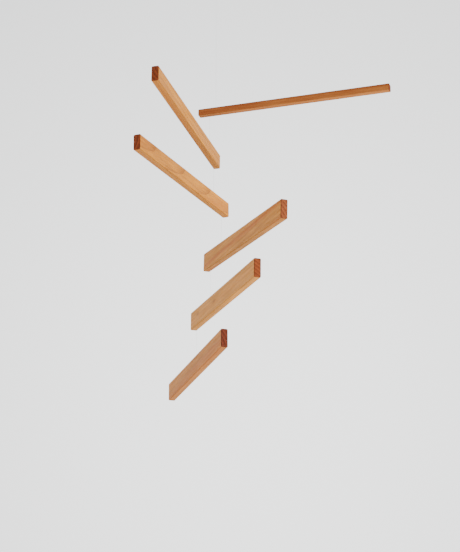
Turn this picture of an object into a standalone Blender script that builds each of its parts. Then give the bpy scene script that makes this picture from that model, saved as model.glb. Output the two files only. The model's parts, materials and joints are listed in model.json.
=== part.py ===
# Hanging mobile: six thin wooden bars in a cascade, each hung from near one end of the bar above.
# Metres, +Z up. The origin is the inside top of the loop that the whole mobile hangs by.

import math

import bmesh
import bpy
from mathutils import Matrix, Vector

# Bars, from the top one down. All have one length and one thickness, and stand on edge.
BAR_LENGTH = 0.280
BAR_THICKNESS = 0.010
BAR_HEIGHTS = (0.010, 0.0215, 0.0215, 0.0265, 0.0265, 0.0265)
EDGE_ROUND = 0.0012

# How each bar hangs in degrees: where its loaded end points, counted from +X, and how far that end dips.
BAR_HEADINGS = (161.6, 73.9, 65.9, 111.9, 108.7, 107)
BAR_DIPS = (-0.3, 1.8, -1.1, -3.6, -1.7, 1.3)

# Lines, and the blind holes that their ends are glued into
LINE_DIAMETER = 0.0003
LINE_DROP = 0.0455
LINE_IN_WOOD = 0.002
HOLE_INSET = 0.016
HOLE_PLAY = 0.00035
HOLE_PAST_LINE = 0.001

# Top line with its knot and loop
TOP_LINE_DROP = 0.185
KNOT_LENGTH = 0.003
KNOT_DIAMETER = 0.0014
LOOP_HEIGHT = 0.012
LOOP_WIDTH = 0.007

HOLE_SIDES = 12
TUBE_RESOLUTION = 2
LOOP_POINTS = 32

LOAD_ARM = BAR_LENGTH / 2 - HOLE_INSET
HOLE_DIAMETER = LINE_DIAMETER + 2 * HOLE_PLAY
HOLE_DEPTH = LINE_IN_WOOD + HOLE_PAST_LINE

WOOD_COLOR = (0.50, 0.25, 0.11, 1.0)
LINE_COLOR = (0.86, 0.88, 0.88, 1.0)


def clear_scene():
    for obj in list(bpy.data.objects):
        bpy.data.objects.remove(obj, do_unlink=True)


def make_material(name, color, roughness, transmission=0.0):
    material = bpy.data.materials.new(name)
    material.use_nodes = True
    shader = material.node_tree.nodes["Principled BSDF"]
    shader.inputs["Base Color"].default_value = color
    shader.inputs["Roughness"].default_value = roughness
    shader.inputs["Metallic"].default_value = 0.0
    shader.inputs["Transmission Weight"].default_value = transmission
    return material


def link(obj, parent=None):
    bpy.context.scene.collection.objects.link(obj)
    obj.parent = parent
    return obj


def mesh_object(name, bm, parent=None):
    mesh = bpy.data.meshes.new(name)
    bmesh.ops.recalc_face_normals(bm, faces=bm.faces)
    bm.to_mesh(mesh)
    bm.free()
    return link(bpy.data.objects.new(name, mesh), parent)


def as_tool(obj):
    obj.hide_render = True
    obj.display_type = "WIRE"
    return obj


def boolean(obj, tool, operation):
    modifier = obj.modifiers.new(tool.name, "BOOLEAN")
    modifier.operation = operation
    modifier.solver = "EXACT"
    modifier.object = tool


def balance_arm(index):
    """Distance from a bar's middle, towards its loaded end, to where it balances its load."""
    own = BAR_HEIGHTS[index]
    load = sum(BAR_HEIGHTS[index + 1:])
    return load * LOAD_ARM / (own + load)


def hole_tool(name, parent, at, inward):
    """A drill bit standing in the face at this point, a little proud of it."""
    proud = HOLE_DEPTH
    bm = bmesh.new()
    bmesh.ops.create_cone(
        bm,
        cap_ends=True,
        segments=HOLE_SIDES,
        radius1=HOLE_DIAMETER / 2,
        radius2=HOLE_DIAMETER / 2,
        depth=HOLE_DEPTH + proud,
        matrix=Matrix.Translation((0, 0, inward * (HOLE_DEPTH - proud) / 2)),
    )
    tool = as_tool(mesh_object(name, bm, parent))
    tool.location = at
    return tool


def make_bar(index, swivel, wood):
    """One bar. Its own origin is the point on its upper edge that the line from above reaches."""
    height = BAR_HEIGHTS[index]
    balance = balance_arm(index)
    bm = bmesh.new()
    bmesh.ops.create_cube(
        bm,
        size=1.0,
        matrix=Matrix.Translation((-balance, 0, -height / 2))
        @ Matrix.Diagonal((BAR_LENGTH, BAR_THICKNESS, height, 1)),
    )
    bmesh.ops.bevel(
        bm,
        geom=bm.edges,
        offset=EDGE_ROUND,
        offset_type="OFFSET",
        segments=2,
        profile=0.5,
        affect="EDGES",
    )
    bar = mesh_object(f"bar_{index + 1}", bm, swivel)
    bar.rotation_euler = (0, math.radians(BAR_DIPS[index]), 0)
    bar.data.materials.append(wood)
    upper = hole_tool(f"upper_drill_{index + 1}", bar, (0, 0, 0), -1)
    boolean(bar, upper, "DIFFERENCE")
    if index + 1 < len(BAR_HEIGHTS):
        lower = hole_tool(f"lower_drill_{index + 1}", bar, (LOAD_ARM - balance, 0, -height), 1)
        boolean(bar, lower, "DIFFERENCE")
    return bar


def line_exit(index):
    """Where the next line leaves this bar's lower edge, seen from the bar's swivel."""
    dip = Matrix.Rotation(math.radians(BAR_DIPS[index]), 3, "Y")
    return dip @ Vector((LOAD_ARM - balance_arm(index), 0, -BAR_HEIGHTS[index]))


def tube(name, points, cyclic=False):
    curve = bpy.data.curves.new(name, "CURVE")
    curve.dimensions = "3D"
    curve.bevel_depth = LINE_DIAMETER / 2
    curve.bevel_resolution = TUBE_RESOLUTION
    curve.use_fill_caps = not cyclic
    spline = curve.splines.new("POLY")
    spline.points.add(len(points) - 1)
    for point, place in zip(spline.points, points):
        point.co = (*place, 1.0)
    spline.use_cyclic_u = cyclic
    return bpy.data.objects.new(name, curve)


def tube_mesh(name, points, cyclic=False):
    """The same tube as a mesh, for the Boolean union."""
    guide = tube(name + "_guide", points, cyclic)
    bpy.context.scene.collection.objects.link(guide)
    graph = bpy.context.evaluated_depsgraph_get()
    mesh = bpy.data.meshes.new_from_object(guide.evaluated_get(graph))
    bpy.data.objects.remove(guide, do_unlink=True)
    bm = bmesh.new()
    bm.from_mesh(mesh)
    bpy.data.meshes.remove(mesh)
    bmesh.ops.remove_doubles(bm, verts=bm.verts, dist=0.000001)
    return bm


def make_line(index, swivel, clear):
    """The line from this bar down to the next, straight and plumb, both ends in the wood."""
    top = line_exit(index)
    upper_end = top + Vector((0, 0, LINE_IN_WOOD))
    lower_end = top - Vector((0, 0, LINE_DROP + LINE_IN_WOOD))
    line = link(tube(f"line_{index + 1}", (upper_end, lower_end)), swivel)
    line.data.materials.append(clear)
    return line


def make_top_line(clear):
    """Line, knot and loop as one piece. The loop's foot and the line's end are inside the knot."""
    knot_top = -LOOP_HEIGHT
    knot_middle = knot_top - KNOT_LENGTH / 2
    knot_foot = knot_top - KNOT_LENGTH
    lower_end = knot_foot - TOP_LINE_DROP - LINE_IN_WOOD
    bm = tube_mesh("top_line", (Vector((0, 0, knot_middle)), Vector((0, 0, lower_end))))
    line = mesh_object("top_line", bm)
    line.data.materials.append(clear)

    loop_top = LINE_DIAMETER / 2
    middle = (loop_top + knot_middle) / 2
    half = (loop_top - knot_middle) / 2
    path = []
    for step in range(LOOP_POINTS):
        turn = 2 * math.pi * step / LOOP_POINTS
        rise = -math.cos(turn)
        side = math.sin(turn) * (0.78 + 0.22 * rise)
        path.append(Vector((side * LOOP_WIDTH / 2, 0, middle + half * rise)))
    loop = as_tool(mesh_object("loop", tube_mesh("loop", path, cyclic=True)))
    boolean(line, loop, "UNION")

    bm = bmesh.new()
    bmesh.ops.create_uvsphere(
        bm,
        u_segments=12,
        v_segments=8,
        radius=0.5,
        matrix=Matrix.Translation((0, 0, knot_middle))
        @ Matrix.Diagonal((KNOT_DIAMETER, KNOT_DIAMETER, KNOT_LENGTH, 1)),
    )
    knot = as_tool(mesh_object("knot", bm))
    boolean(line, knot, "UNION")
    for piece in (line, loop, knot):
        piece.data.shade_smooth()


def make_swivel(index, parent, place):
    """The upright axis that a bar and all below it turn about."""
    swivel = bpy.data.objects.new(f"swivel_{index + 1}", None)
    swivel.empty_display_size = 0.01
    link(swivel, parent)
    swivel.location = place
    before = BAR_HEADINGS[index - 1] if parent else 0
    swivel.rotation_euler = (0, 0, math.radians(BAR_HEADINGS[index] - before))
    return swivel


def main():
    clear_scene()
    wood = make_material("oiled cherry", WOOD_COLOR, 0.5)
    clear = make_material("clear nylon", LINE_COLOR, 0.15, transmission=0.9)

    make_top_line(clear)
    parent = None
    place = Vector((0, 0, -LOOP_HEIGHT - KNOT_LENGTH - TOP_LINE_DROP))
    for index in range(len(BAR_HEIGHTS)):
        swivel = make_swivel(index, parent, place)
        make_bar(index, swivel, wood)
        if index + 1 < len(BAR_HEIGHTS):
            make_line(index, swivel, clear)
        parent = swivel
        place = line_exit(index) - Vector((0, 0, LINE_DROP))


main()
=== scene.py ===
import json
import math

import bpy
from mathutils import Matrix, Vector, noise


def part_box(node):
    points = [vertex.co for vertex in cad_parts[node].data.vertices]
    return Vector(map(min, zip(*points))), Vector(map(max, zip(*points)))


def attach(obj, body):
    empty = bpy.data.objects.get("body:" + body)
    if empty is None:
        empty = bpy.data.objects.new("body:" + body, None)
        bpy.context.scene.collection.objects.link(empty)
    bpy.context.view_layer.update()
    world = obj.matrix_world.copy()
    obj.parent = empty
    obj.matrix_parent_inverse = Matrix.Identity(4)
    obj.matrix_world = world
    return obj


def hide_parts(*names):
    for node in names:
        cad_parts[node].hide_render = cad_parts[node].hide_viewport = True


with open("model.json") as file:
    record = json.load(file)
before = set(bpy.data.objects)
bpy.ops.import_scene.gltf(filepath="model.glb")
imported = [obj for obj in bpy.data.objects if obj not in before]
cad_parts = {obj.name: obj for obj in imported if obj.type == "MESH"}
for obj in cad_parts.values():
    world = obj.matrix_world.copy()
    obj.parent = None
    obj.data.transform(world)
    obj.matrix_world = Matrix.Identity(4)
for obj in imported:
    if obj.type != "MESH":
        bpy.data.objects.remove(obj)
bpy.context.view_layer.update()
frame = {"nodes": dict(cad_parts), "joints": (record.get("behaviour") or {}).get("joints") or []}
hangPoints = {joint["child"]: Vector(joint["pos_m"]) for joint in frame["joints"]}
print("frame loaded,", len(frame["nodes"]), "solids")

# Lengths are in metres, except that the wood's patterns are laid out in millimetres of each bar.
millimetre = 0.001


# Helpers

def hexColor(text):
    parts = [int(text[i:i + 2], 16) / 255 for i in (1, 3, 5)]
    return tuple(c / 12.92 if c <= 0.04045 else ((c + 0.055) / 1.055) ** 2.4 for c in parts) + (1.0,)


def makeActive(piece):
    bpy.ops.object.select_all(action="DESELECT")
    piece.select_set(True)
    bpy.context.view_layer.objects.active = piece


def newMaterial(name):
    material = bpy.data.materials.new(name)
    material.use_nodes = True
    tree = material.node_tree
    return material, tree, tree.nodes["Principled BSDF"]


def addNode(tree, kind, inputs=(), **settings):
    # inputs may be numbers, colours, sockets or nodes, of which the first output is used
    node = tree.nodes.new("ShaderNode" + kind)
    for key, value in settings.items():
        setattr(node, key, value)
    for key, value in (inputs.items() if isinstance(inputs, dict) else enumerate(inputs)):
        if isinstance(value, bpy.types.Node):
            value = value.outputs[0]
        if isinstance(value, bpy.types.NodeSocket):
            tree.links.new(value, node.inputs[key])
        else:
            node.inputs[key].default_value = value
    return node


# Lines

nylon = {
    "color": "#f4f7f7",
    "ior": 1.53,
    "roughness": 0.08,
    "markRoughness": 0.08,      # more, where the drawing left its marks
    "markScale": (4000, 4000, 120),     # per metre, so marks are 0.25 mm wide and 8 mm long
}


# Nylon drawn into clear line: colourless and smooth, so it only shows as a hair-thin bent glint.
def makeNylon():
    material, tree, shader = newMaterial("clear nylon line")
    coords = addNode(tree, "TexCoord")
    # faint drawing marks keep its gloss from being even
    marks = addNode(tree, "Mapping", {"Vector": coords.outputs["Object"], "Scale": nylon["markScale"]})
    marks = addNode(tree, "TexNoise", {"Vector": marks, "Scale": 1.0, "Detail": 2.0})
    rough = addNode(tree, "MapRange", [marks, 0.0, 1.0, nylon["roughness"],
                                       nylon["roughness"] + nylon["markRoughness"]])
    tree.links.new(rough.outputs[0], shader.inputs["Roughness"])
    shader.inputs["Base Color"].default_value = hexColor(nylon["color"])
    shader.inputs["Transmission Weight"].default_value = 1.0
    shader.inputs["IOR"].default_value = nylon["ior"]
    return material


# The top line has its solid's sizes, but is tied: a wound knot, under a loop that hangs from the origin.
topLine = {
    "diameter": 0.0003,
    "loopHeight": 0.012,
    "loopWidth": 0.007,
    "loopPinch": 0.22,          # 0 is an ellipse, and more narrows its foot
    "loopPoints": 28,
    "knotLength": 0.003,
    "turns": 8,
    "pointsPerTurn": 12,
    "gap": 0.00003,             # between strands that lie side by side
    "tag": 0.0011,              # how far the cut end stands out of the knot
    "bevelSteps": 4,            # 12 sides
    "curveSteps": 3,
}


# One strand: up through the knot, round the loop, back down through the knot, and then wound upwards round
# both strands, with its cut end standing out.
def topLineRoute():
    thick = topLine["diameter"]
    knotTop = -topLine["loopHeight"]
    knotMiddle = knotTop - topLine["knotLength"] / 2
    knotFoot = knotTop - topLine["knotLength"]
    beside = (thick + topLine["gap"]) / 2           # from the knot's axis to each strand in it
    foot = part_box("top_line")[0][2]
    straight = (0, 0.25, 0.5, 0.75, 0.98)
    route = [Vector((0, 0, foot + (knotFoot - foot) * share)) for share in straight]
    route += [Vector((beside, 0, z)) for z in (knotFoot, knotMiddle, knotTop)]

    middle = (thick / 2 + knotTop) / 2
    half = (thick / 2 - knotTop) / 2
    for step in range(1, topLine["loopPoints"]):
        turn = math.tau * step / topLine["loopPoints"]
        rise = -math.cos(turn)
        side = math.sin(turn) * (1 - topLine["loopPinch"] + topLine["loopPinch"] * rise)
        route.append(Vector((side * topLine["loopWidth"] / 2, 0, middle + half * rise)))

    woundFoot = knotFoot + thick
    route += [Vector((-beside, 0, z)) for z in (knotTop, knotMiddle, woundFoot)]
    coil = beside + thick + topLine["gap"]
    windings = topLine["turns"] * topLine["pointsPerTurn"]
    climb = (topLine["knotLength"] - 2 * thick) / windings
    for step in range(windings + 1):
        turn = math.pi + math.tau * step / topLine["pointsPerTurn"]
        route.append(Vector((coil * math.cos(turn), coil * math.sin(turn), woundFoot + climb * step)))
    cutEnd = route[-1]
    for way in ((-0.15, -0.4, 0.075), (-0.25, -0.8, 0.25)):
        route.append(cutEnd + Vector(way) * topLine["tag"])
    return route


def makeTopLine():
    bpy.ops.object.select_all(action="DESELECT")
    bpy.ops.curve.primitive_nurbs_path_add()
    piece = bpy.context.object
    piece.name = "tied_top_line"
    piece.data.splines.clear()
    route = topLineRoute()
    strand = piece.data.splines.new("NURBS")
    strand.points.add(len(route) - 1)
    for point, place in zip(strand.points, route):
        point.co = (*place, 1)
    strand.order_u = 4
    strand.use_endpoint_u = True
    strand.resolution_u = topLine["curveSteps"]
    piece.data.bevel_depth = topLine["diameter"] / 2
    piece.data.bevel_resolution = topLine["bevelSteps"]
    piece.data.use_fill_caps = True
    bpy.ops.object.convert(target="MESH")
    piece.data.name = piece.name
    return piece


nylonLook = makeNylon()
for name, node in frame["nodes"].items():
    if "line" in name:
        for slot in node.material_slots:
            slot.material = nylonLook
piece = makeTopLine()
piece.data.materials.append(nylonLook)
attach(piece, "top_line")
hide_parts("top_line")
print("lines in clear nylon, the top one tied in its loop")


# Bars

barShape = {
    "edgeRound": 0.0015,        # over the solids' 1.2 mm, which is cut in flats, so that this stays inside
    "edgeSteps": 4,
    "lengthCuts": 27,           # a ring of points every 10 mm, for the hand work
    "handWork": 0.00006,        # how far the arrises wander, always inwards
    "wanderAlong": 60,          # waves in a metre
    "wanderAcross": 400,
    "wanderStart": 50,          # times the bar's place, so that no two bars wander alike
    "cornerAngle": 40,          # degrees; edges sharper than this are rounded
    "smoothAngle": 50,          # and edges sharper than this stay sharp, as at the holes
    "drill": 0.0005,
    "drillDepth": 0.0030,
    "drillSides": 24,
}


# A bar's place, directions and size are read from its solid: its largest faces give its directions.
def readBar(name):
    mesh = frame["nodes"][name].data
    upright = [face for face in mesh.polygons if abs(face.normal.z) < 0.5]
    level = [face for face in mesh.polygons if face.normal.z > 0.5]
    across = max(upright, key=lambda face: face.area).normal.copy()
    up = max(level, key=lambda face: face.area).normal.copy()
    along = across.cross(up).normalized()
    across = up.cross(along)
    sides = {}
    middle = Vector((0, 0, 0))
    for key, axis in (("length", along), ("thickness", across), ("height", up)):
        reach = [axis.dot(vertex.co) for vertex in mesh.vertices]
        sides[key] = max(reach) - min(reach)
        middle += axis * (max(reach) + min(reach)) / 2
    hang = hangPoints[name]
    if along.dot(hang - middle) < -millimetre:      # x runs towards the loaded end
        along.negate()
        across.negate()
    turn = Matrix((along, across, up)).transposed()
    return {"middle": middle, "turn": turn, "hang": hang, **sides}


def drillHole(piece, place):
    bpy.ops.object.select_all(action="DESELECT")
    bpy.ops.mesh.primitive_cylinder_add(
        vertices=barShape["drillSides"], radius=barShape["drill"] / 2,
        depth=barShape["drillDepth"] * 2, location=place)
    bit = bpy.context.object
    makeActive(piece)
    cut = piece.modifiers.new("drilled hole", "BOOLEAN")
    cut.object = bit
    bpy.ops.object.modifier_apply(modifier=cut.name)
    bpy.data.objects.remove(bit, do_unlink=True)


def makeBar(name, bar, nextHang):
    size = Vector((bar["length"], bar["thickness"], bar["height"]))
    bpy.ops.object.select_all(action="DESELECT")
    bpy.ops.mesh.primitive_cube_add(size=1)
    piece = bpy.context.object
    piece.name = "planed_" + name
    piece.data.name = piece.name
    piece.scale = size
    bpy.ops.object.transform_apply(location=False, rotation=False, scale=True)

    bpy.ops.object.mode_set(mode="EDIT")
    bpy.ops.mesh.select_mode(type="EDGE")
    bpy.ops.mesh.select_all(action="DESELECT")
    bpy.ops.object.mode_set(mode="OBJECT")
    for edge in piece.data.edges:               # only the four long edges are divided
        first, second = (piece.data.vertices[i].co for i in edge.vertices)
        edge.select = abs(first.x - second.x) > size.x / 2
    bpy.ops.object.mode_set(mode="EDIT")
    bpy.ops.mesh.subdivide(number_cuts=barShape["lengthCuts"])
    bpy.ops.mesh.select_all(action="DESELECT")
    bpy.ops.mesh.edges_select_sharp(sharpness=math.radians(barShape["cornerAngle"]))
    bpy.ops.mesh.bevel(offset=barShape["edgeRound"], segments=barShape["edgeSteps"], affect="EDGES")
    bpy.ops.object.mode_set(mode="OBJECT")

    # hand sanding leaves the arrises a little uneven, and the flat faces flat
    arrisWidth = barShape["edgeRound"] * 0.9
    pace = Vector((barShape["wanderAlong"], barShape["wanderAcross"], barShape["wanderAcross"]))
    start = bar["middle"] * barShape["wanderStart"]
    for vertex in piece.data.vertices:
        place = vertex.co
        if abs(place.y) > size.y / 2 - arrisWidth and abs(place.z) > size.z / 2 - arrisWidth:
            wander = noise.noise(place * pace + start)
            pull = barShape["handWork"] * (0.5 + 0.5 * wander)
            place.y -= math.copysign(pull, place.y)
            place.z -= math.copysign(pull, place.z)

    inverse = bar["turn"].transposed()
    drillHole(piece, ((inverse @ (bar["hang"] - bar["middle"])).x, 0, size.z / 2))
    if nextHang:                                # the line below is plumb over the next hanging point
        leave = inverse @ (nextHang - bar["middle"])
        plumb = inverse @ Vector((0, 0, 1))
        leave += plumb * ((-size.z / 2 - leave.z) / plumb.z)
        drillHole(piece, (leave.x, 0, -size.z / 2))

    piece.data.shade_smooth()
    piece.data.set_sharp_from_angle(angle=math.radians(barShape["smoothAngle"]))
    weighted = piece.modifiers.new("flat faces stay flat", "WEIGHTED_NORMAL")
    weighted.keep_sharp = True
    bpy.ops.object.modifier_apply(modifier=weighted.name)
    piece.matrix_world = Matrix.Translation(bar["middle"]) @ bar["turn"].to_4x4()
    bpy.ops.object.transform_apply(location=True, rotation=True, scale=True)
    return piece


# The cherry that all bars share. Lengths are in mm, and tones run from 0, light, to 1, dark.
cherry = {
    "endLight": "#893f1e",
    "endDark": "#562510",
    "red": "#a0521f",
    "ringLine": "#764019",
    "sapwood": "#c9944a",
    "sapShare": 0.0,            # how much of that paler wood the lower face shows
    "tone": 0.0,
    "drift": (0.0, 0.0),        # extra tone at the free end and at the loaded end
    "lowTone": 0.0,             # extra tone of the lower face
    "pithTilt": (0.6, 0.4),     # degrees
    "stretch": 20.0,            # how much longer than wide the grain's figure is
    "ringSpacing": 4.8,
    "ringDepth": 0.35,
    "ringWaver": 7.0,           # how far a ring strays from round
    "lateWood": 4.0,            # higher gives thinner ring lines
    "redSpacing": 18.0,         # between bands of redder years
    "redAt": 46.0,              # one of those bands, counted from the pith
    "redDepth": 0.55,
    "streaks": 2.0,
    "marks": (),                # soft gum marks: along, up, half length, half height
    "markDepth": 0.6,
    "arrisShadeDepth": 0.3,          # painted shade: how much darker the rounded arrises are coloured, standing in for the dimmer light on their slanted faces
    "roughness": 0.46,
    "ior": 1.47,
    "gloss": 0.1,               # low, since the oil lies in the wood and leaves no film
    "bump": 0.3,
    "bumpHeight": 0.06,
}

# The finer figure of all cherry, as noise scales. They are counted per mm, so 1 / scale is a size in mm.
figure = {
    "tones": 0.09,              # 11 mm wide
    "streaks": 0.4,             # 2.5 mm
    "fibres": 5.0,              # 0.2 mm
    "gum": 2.2,                 # 0.45 mm
    "rays": (0.7, 2.2, 0.9),    # 1.4 mm along the bar, 0.45 mm across it and 1.1 mm up
}

# Each bar's own wood. The pith is given from the bar's middle, across and up, and the shift says
# where along the plank the bar was cut.
bars = {
    "bar_1": {
        "light": "#ac6930", "dark": "#8a461f", "red": "#7f3b16", "sapShare": 0.16,
        "pith": (12.0, 46.0), "pithTilt": (-0.3, 0.2), "shift": 310.0,
        "tone": -0.4, "drift": (-0.3, 0.2), "lowTone": -0.05, "streaks": 3.0,
        "ringDepth": 0.5, "redAt": 42.8, "redSpacing": 14.0, "redDepth": 0.95,
    },
    "bar_2": {
        "light": "#cb8728", "dark": "#a0682a",
        "pith": (-52.0, 30.0), "shift": 90.0,
        "lowTone": 0.5,
        "redAt": 67.5, "redSpacing": 24.0, "redDepth": 0.25,
    },
    "bar_3": {
        "light": "#d28b29", "dark": "#a26929",
        "pith": (39.6, 9.0), "pithTilt": (0.5, 4.0), "shift": 720.0,
        "drift": (0.4, -0.25), "lowTone": 0.5,
        "ringDepth": 0.6, "ringSpacing": 5.5, "ringWaver": 3.5, "lateWood": 8.0,
        "redAt": 36.0, "redDepth": 0.45,
    },
    "bar_4": {
        "light": "#c98639", "dark": "#a06729", "endLight": "#a35935", "endDark": "#6c3921",
        "pith": (38.0, -44.0), "pithTilt": (3.5, 0.4), "shift": 1230.0,
        "tone": -0.3, "lowTone": 0.4, "streaks": 2.6,
        "redAt": 56.0, "redDepth": 0.65,
    },
    "bar_5": {
        "light": "#cc893b", "dark": "#a76f2b", "endLight": "#9c502b", "endDark": "#67321a",
        "pith": (30.0, -60.0), "shift": 1610.0,
        "redDepth": 0.2,
        "marks": ((30.0, 0.5, 11.0, 3.0), (105.0, 2.5, 11.0, 3.2)),
    },
    "bar_6": {
        "light": "#c27c30", "dark": "#9b6029", "endLight": "#7e3c29", "endDark": "#522518",
        "pith": (46.0, -22.0), "shift": 2110.0,
        "lowTone": 0.45,
        "redAt": 42.5, "redDepth": 0.6,
    },
}


# Cherry that was planed, sanded and thinly oiled. To the eye that is a warm, light wood whose years end in
# thin darker lines, with redder bands, fine fibres and pale ray flecks, and a low, satin gloss.
def makeCherry(name, bar, look):
    material, tree, shader = newMaterial("oiled cherry, " + name.replace("_", " "))
    coords = addNode(tree, "TexCoord")
    turn = bar["turn"].to_euler()
    # the bar's own millimetres, x along it, y across it, z up, and its surface's direction in them
    local = addNode(tree, "Mapping", {"Vector": coords.outputs["Object"], "Location": bar["middle"],
                                      "Rotation": turn, "Scale": (millimetre, millimetre, millimetre)},
                    vector_type="TEXTURE")
    facing = addNode(tree, "Mapping", {"Vector": coords.outputs["Normal"], "Rotation": turn},
                     vector_type="TEXTURE")
    faces = addNode(tree, "VectorMath", [facing], operation="ABSOLUTE")
    faces = addNode(tree, "SeparateXYZ", [faces])
    facing = addNode(tree, "SeparateXYZ", [facing])
    downward = addNode(tree, "MapRange", [facing.outputs[2], -0.5, -0.8])
    endward = addNode(tree, "MapRange", [faces.outputs[0], 0.2, 0.4])

    # the plank's space: its pith is the x axis, and x is shortened so that all figure runs with the grain
    tiltY, tiltZ = (math.radians(angle) for angle in look["pithTilt"])
    plank = addNode(tree, "Mapping", {"Vector": local, "Location": (0, *look["pith"]),
                                      "Rotation": (0, tiltY, tiltZ), "Scale": (look["stretch"], 1, 1)},
                    vector_type="TEXTURE")
    plank = addNode(tree, "VectorMath", [plank, (look["shift"] / look["stretch"], 0, 0)], operation="ADD")

    # year rings, sharp where a year's dark late wood ends, and wider bands of redder years
    waveLength = 0.1 * math.pi                  # of the wave texture at scale 1
    ringWave = waveLength / look["ringSpacing"]
    redWave = waveLength / look["redSpacing"]
    redPhase = math.pi * (1 - 2 * look["redAt"] / look["redSpacing"])
    rings = addNode(tree, "TexWave", {"Vector": plank, "Scale": ringWave, "Distortion": look["ringWaver"],
                                      "Detail": 3.0, "Detail Scale": 0.3, "Detail Roughness": 0.55},
                    wave_type="RINGS", rings_direction="X", wave_profile="SAW").outputs["Fac"]
    lateWood = addNode(tree, "Math", [rings, look["lateWood"]], operation="POWER")
    bands = addNode(tree, "TexWave", {"Vector": plank, "Scale": redWave, "Distortion": 1.2, "Detail": 4.0,
                                      "Detail Scale": 4.0, "Detail Roughness": 0.6, "Phase Offset": redPhase},
                    wave_type="RINGS", rings_direction="X", wave_profile="SIN").outputs["Fac"]

    # figure along the grain, and ray flecks across it, which are laid out in the bar's own millimetres.
    # Gum and flecks show only where their noise is high.
    broad = addNode(tree, "TexNoise", {"Vector": plank, "Scale": figure["tones"], "Detail": 2.0})
    streaks = addNode(tree, "TexNoise", {"Vector": plank, "Scale": figure["streaks"], "Detail": 5.0,
                                         "Roughness": 0.65})
    fibres = addNode(tree, "TexNoise", {"Vector": plank, "Scale": figure["fibres"], "Detail": 2.0,
                                        "Roughness": 0.6})
    gum = addNode(tree, "TexNoise", {"Vector": plank, "Scale": figure["gum"], "Detail": 1.0})
    gum = addNode(tree, "MapRange", [gum, 0.70, 0.78, 0.0, 0.5])
    rays = addNode(tree, "Mapping", {"Vector": local, "Scale": figure["rays"]})
    rays = addNode(tree, "TexNoise", {"Vector": rays, "Scale": 1.0, "Detail": 2.0})
    rays = addNode(tree, "MapRange", [rays, 0.56, 0.72, 0.0, 0.22])

    # how dark the wood is: broad tones and streaks, with more or less towards each end and on the lower face
    atFreeEnd, atLoadedEnd = (look["tone"] + extra for extra in look["drift"])
    endAt = bar["length"] / 2 / millimetre
    along = addNode(tree, "SeparateXYZ", [local]).outputs[0]
    drift = addNode(tree, "MapRange", [along, -endAt, endAt, atFreeEnd, atLoadedEnd])
    tone = addNode(tree, "MapRange", [broad, 0.3, 0.7, -0.75, -0.25])
    tone = addNode(tree, "Math", [streaks, look["streaks"], tone], operation="MULTIPLY_ADD")
    tone = addNode(tree, "Math", [tone, drift], operation="ADD")
    tone = addNode(tree, "Math", [downward, look["lowTone"], tone], operation="MULTIPLY_ADD", use_clamp=True)
    color = addNode(tree, "Mix", {0: tone, 6: hexColor(look["light"]), 7: hexColor(look["dark"])},
                    data_type="RGBA").outputs[2]

    # redder years, which come and go with the broad tones, and the lines of late wood
    redYears = addNode(tree, "MapRange", [bands, 0.6, 1.0, 0.0, look["redDepth"]])
    redShare = addNode(tree, "MapRange", [broad, 0.35, 0.65, 0.45, 1.15])
    redYears = addNode(tree, "Math", [redYears, redShare], operation="MULTIPLY", use_clamp=True)
    color = addNode(tree, "Mix", {0: redYears, 6: color, 7: hexColor(look["red"])},
                    data_type="RGBA").outputs[2]
    ringShade = addNode(tree, "Math", [lateWood, look["ringDepth"]], operation="MULTIPLY")
    color = addNode(tree, "Mix", {0: ringShade, 6: color, 7: hexColor(look["ringLine"])},
                    data_type="RGBA").outputs[2]

    # sapwood below, then fibres, flecks, gum and the soft marks that gum leaves under the surface
    sap = addNode(tree, "Math", [downward, look["sapShare"]], operation="MULTIPLY")
    color = addNode(tree, "Mix", {0: sap, 6: color, 7: hexColor(look["sapwood"])},
                    data_type="RGBA").outputs[2]
    fibreShade = addNode(tree, "MapRange", [fibres, 0.3, 0.7, 0.86, 1.12])
    color = addNode(tree, "VectorMath", {0: color, "Scale": fibreShade}, operation="SCALE")
    color = addNode(tree, "Mix", {0: rays, 6: color, 7: hexColor(look["light"])},
                    data_type="RGBA").outputs[2]
    color = addNode(tree, "Mix", {0: gum, 6: color, 7: hexColor(look["endDark"])},
                    data_type="RGBA").outputs[2]
    throughTheBar = 1000.0
    for x, z, halfLength, halfHeight in look["marks"]:
        spot = addNode(tree, "Mapping", {"Vector": local, "Location": (x, 0, z),
                                         "Scale": (halfLength, throughTheBar, halfHeight)},
                       vector_type="TEXTURE")
        spot = addNode(tree, "VectorMath", [spot], operation="LENGTH").outputs["Value"]
        spot = addNode(tree, "MapRange", [spot, 0.1, 1.0, look["markDepth"], 0.0])
        color = addNode(tree, "Mix", {0: spot, 6: color, 7: hexColor(look["ringLine"])},
                        data_type="RGBA").outputs[2]

    # end grain drinks the oil: darker and redder, and the rings show as lines
    endShade = addNode(tree, "Math", [rings, 0.45, fibres], operation="MULTIPLY_ADD")
    endShade = addNode(tree, "Math", [streaks, 0.8, endShade], operation="MULTIPLY_ADD")
    endShade = addNode(tree, "MapRange", [endShade, 0.81, 1.35])
    endLight, endDark = hexColor(look["endLight"]), hexColor(look["endDark"])
    endColor = addNode(tree, "Mix", {0: endShade, 6: endLight, 7: endDark}, data_type="RGBA").outputs[2]
    color = addNode(tree, "Mix", {0: endward, 6: color, 7: endColor}, data_type="RGBA").outputs[2]

    # painted shade: the rounded arrises, which face no way squarely, are darkened in colour, standing in for
    # the dimmer light they catch
    flat = addNode(tree, "Math", [faces.outputs[0], faces.outputs[1]], operation="MAXIMUM")
    flat = addNode(tree, "Math", [flat, faces.outputs[2]], operation="MAXIMUM")
    arris = addNode(tree, "MapRange", [flat, 0.8, 0.98, 1 - look["arrisShadeDepth"], 1.0])
    color = addNode(tree, "VectorMath", {0: color, "Scale": arris}, operation="SCALE").outputs[0]

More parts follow.
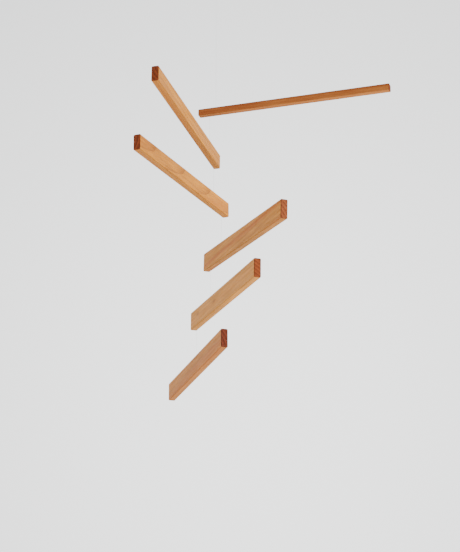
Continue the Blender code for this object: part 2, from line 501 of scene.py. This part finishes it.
    # darker streaks and end grain are duller, fibres and late wood stand up, and gum lies deeper
    rough = addNode(tree, "MapRange", [streaks, 0.3, 0.7, look["roughness"] - 0.06, look["roughness"] + 0.08])
    rough = addNode(tree, "Math", [endward, 0.14, rough], operation="MULTIPLY_ADD")
    height = addNode(tree, "Math", [gum, -0.8, fibres], operation="MULTIPLY_ADD")
    height = addNode(tree, "Math", [lateWood, 0.4, height], operation="MULTIPLY_ADD")
    bump = addNode(tree, "Bump", {"Strength": look["bump"], "Distance": look["bumpHeight"] * millimetre,
                                  "Height": height})
    tree.links.new(color, shader.inputs["Base Color"])
    tree.links.new(rough.outputs[0], shader.inputs["Roughness"])
    tree.links.new(bump.outputs[0], shader.inputs["Normal"])
    shader.inputs["IOR"].default_value = look["ior"]
    shader.inputs["Specular IOR Level"].default_value = look["gloss"]
    return material


names = sorted(bars)
for index, name in enumerate(names):
    bar = readBar(name)
    nextHang = hangPoints[names[index + 1]] if name != names[-1] else None
    piece = makeBar(name, bar, nextHang)
    piece.data.materials.append(makeCherry(name, bar, {**cherry, **bars[name]}))
    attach(piece, name)
    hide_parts(name)
    print(name, "planed, drilled and oiled")


# Stage, light and camera

stage = {
    "wall": "#fdfefe",
    "wallLight": 1.35,
    "glow": 1.27,               # added where the wall is brightest
    "glowTowards": (0.028, 0.972, 0.233),
    "glowTightness": 20.0,
    "floor": "#e9e9e7",
    "floorRoughness": 0.8,
    "floorDrop": 3.4,           # below the hook, as in a tall room
    "floorSize": 120.0,
    "lights": {
        "window side": {"place": (2.6, -0.5, -0.5), "size": 2.4, "power": 100.0, "tint": "#fff2da"},
        "room side": {"place": (-2.6, -0.9, -0.2), "size": 2.4, "power": 20.0, "tint": "#f6f8ff"},
        "bounce from below": {"place": (0.1, -0.2, -3.2), "size": 2.4, "power": 80.0, "tint": "#fffdf8"},
    },
    "lightsAimAt": (0.05, 0.02, -0.38),
}


# A painted, matt floor: pale, even and without gloss.
def makeFloor():
    bpy.ops.object.select_all(action="DESELECT")
    bpy.ops.mesh.primitive_plane_add(size=stage["floorSize"], location=(0, 0, -stage["floorDrop"]))
    floor = bpy.context.object
    floor.name = "floor"
    material, tree, shader = newMaterial("matt floor paint")
    shader.inputs["Base Color"].default_value = hexColor(stage["floor"])
    shader.inputs["Roughness"].default_value = stage["floorRoughness"]
    floor.data.materials.append(material)


def makeWorld():
    world = bpy.data.worlds.new("pale room")
    bpy.context.scene.world = world
    world.use_nodes = True
    tree = world.node_tree
    direction = addNode(tree, "TexCoord").outputs["Generated"]
    towards = addNode(tree, "VectorMath", {0: direction, 1: stage["glowTowards"]},
                      operation="DOT_PRODUCT").outputs["Value"]
    towards = addNode(tree, "Math", [towards, 0.0], operation="MAXIMUM")
    glow = addNode(tree, "Math", [towards, stage["glowTightness"]], operation="POWER")
    light = addNode(tree, "Math", [glow, stage["glow"], stage["wallLight"]], operation="MULTIPLY_ADD")
    background = tree.nodes["Background"]
    background.inputs["Color"].default_value = hexColor(stage["wall"])
    tree.links.new(light.outputs[0], background.inputs["Strength"])


def makeLight(name, settings):
    data = bpy.data.lights.new(name, "AREA")
    data.shape = "DISK"
    data.size = settings["size"]
    data.energy = settings["power"]
    data.color = hexColor(settings["tint"])[:3]
    light = bpy.data.objects.new(name, data)
    bpy.context.scene.collection.objects.link(light)
    light.location = settings["place"]
    aim = Vector(stage["lightsAimAt"]) - light.location
    light.rotation_euler = aim.to_track_quat("-Z", "Y").to_euler()
    light.visible_camera = False


camera = {
    "place": (0.0202, -2.0330, -1.1586),
    "lookUp": 19.11,            # degrees above the horizon
    "sensor": 36.0,             # mm, over the picture's height
    "lens": 101.73,
    "seesFrom": 0.05,
    "seesTo": 200.0,
}


def makeCamera():
    data = bpy.data.cameras.new("camera")
    data.sensor_width = camera["sensor"]
    data.lens = camera["lens"]
    data.clip_start = camera["seesFrom"]
    data.clip_end = camera["seesTo"]
    view = bpy.data.objects.new("camera", data)
    bpy.context.scene.collection.objects.link(view)
    view.location = camera["place"]
    view.rotation_euler = (math.radians(90 + camera["lookUp"]), 0, 0)
    bpy.context.scene.camera = view


makeFloor()
makeWorld()
for name, settings in stage["lights"].items():
    makeLight(name, settings)
makeCamera()
print("stage, light and camera set")
